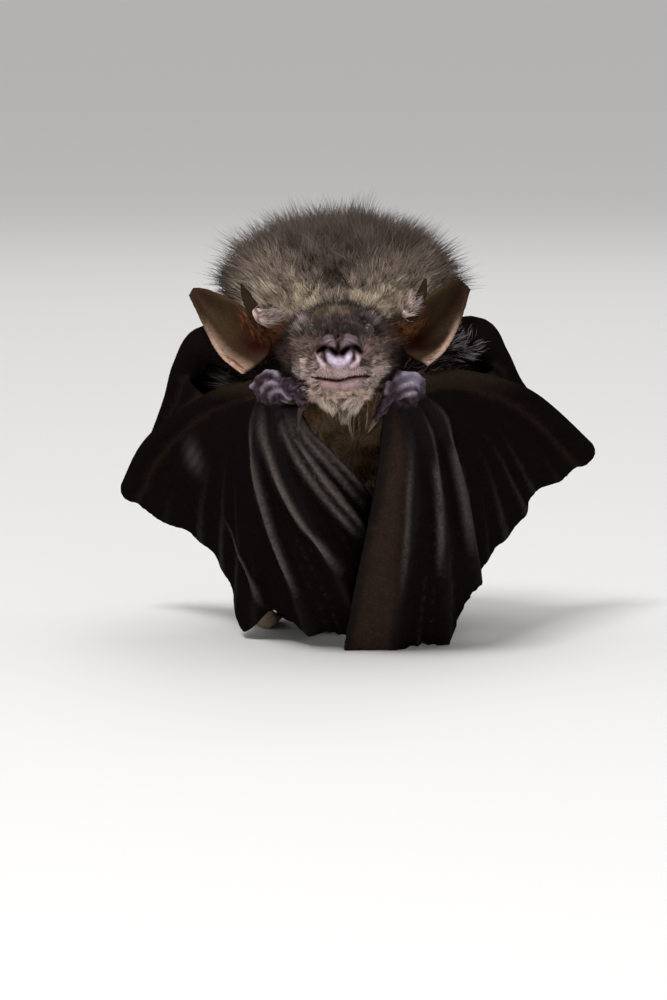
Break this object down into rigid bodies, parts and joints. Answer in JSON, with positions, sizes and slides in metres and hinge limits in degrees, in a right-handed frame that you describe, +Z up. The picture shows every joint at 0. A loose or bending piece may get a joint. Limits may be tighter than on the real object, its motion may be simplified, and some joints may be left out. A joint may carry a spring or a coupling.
{
  "type": "mouse-eared bat sitting upright, life-size still model",
  "caption": "A small furry bat sits upright, wings folded down in front of its chest like a cloak, ears spread, head low, feet and tail skin flat on the floor.",
  "frame": {"origin": "on the floor, under the middle of the bat's bounding box", "axes": "+Z is up, the bat faces -Y, and its own left side is towards +X"},
  "size_m": [0.0656, 0.0728, 0.0571],
  "materials": {
    "back_fur": "long woolly grey-brown fur with pale tips",
    "face_fur": "short grey-brown fur",
    "pale_fur": "short cream fur",
    "wing_skin": "thin near-black brown skin with a dull sheen",
    "ear_skin": "thin olive-brown skin with pale rims",
    "bare_skin": "moist purple-pink skin",
    "eye": "wet black"
  },
  "bodies": {
    "root": {"abdomen": "back_fur", "arm_web_left": "wing_skin", "arm_web_right": "wing_skin", "chest": "back_fur", "ear_left": "ear_skin", "ear_right": "ear_skin", "eye_left": "eye", "eye_right": "eye", "finger_2_left": "wing_skin", "finger_2_right": "wing_skin", "finger_3_left": "wing_skin", "finger_3_right": "wing_skin", "finger_4_left": "wing_skin", "finger_4_right": "wing_skin", "finger_5_left": "wing_skin", "finger_5_right": "wing_skin", "flank_web_left": "wing_skin", "flank_web_right": "wing_skin", "foot_left": "bare_skin", "foot_right": "bare_skin", "forearm_left": "wing_skin", "forearm_right": "wing_skin", "head": "face_fur", "lower_jaw": "pale_fur", "neck": "back_fur", "nose": "bare_skin", "shin_left": "wing_skin", "shin_right": "wing_skin", "shoulder_web_left": "wing_skin", "shoulder_web_right": "wing_skin", "tail": "wing_skin", "tail_web_left": "wing_skin", "tail_web_right": "wing_skin", "thigh_left": "back_fur", "thigh_right": "back_fur", "thumb_left": "bare_skin", "thumb_right": "bare_skin", "tragus_left": "ear_skin", "tragus_right": "ear_skin", "upper_arm_left": "wing_skin", "upper_arm_right": "wing_skin", "web_3_2_left": "wing_skin", "web_3_2_right": "wing_skin", "web_4_3_left": "wing_skin", "web_4_3_right": "wing_skin", "web_5_4_left": "wing_skin", "web_5_4_right": "wing_skin", "wrist_left": "bare_skin", "wrist_right": "bare_skin"}
  },
  "joints": []
}
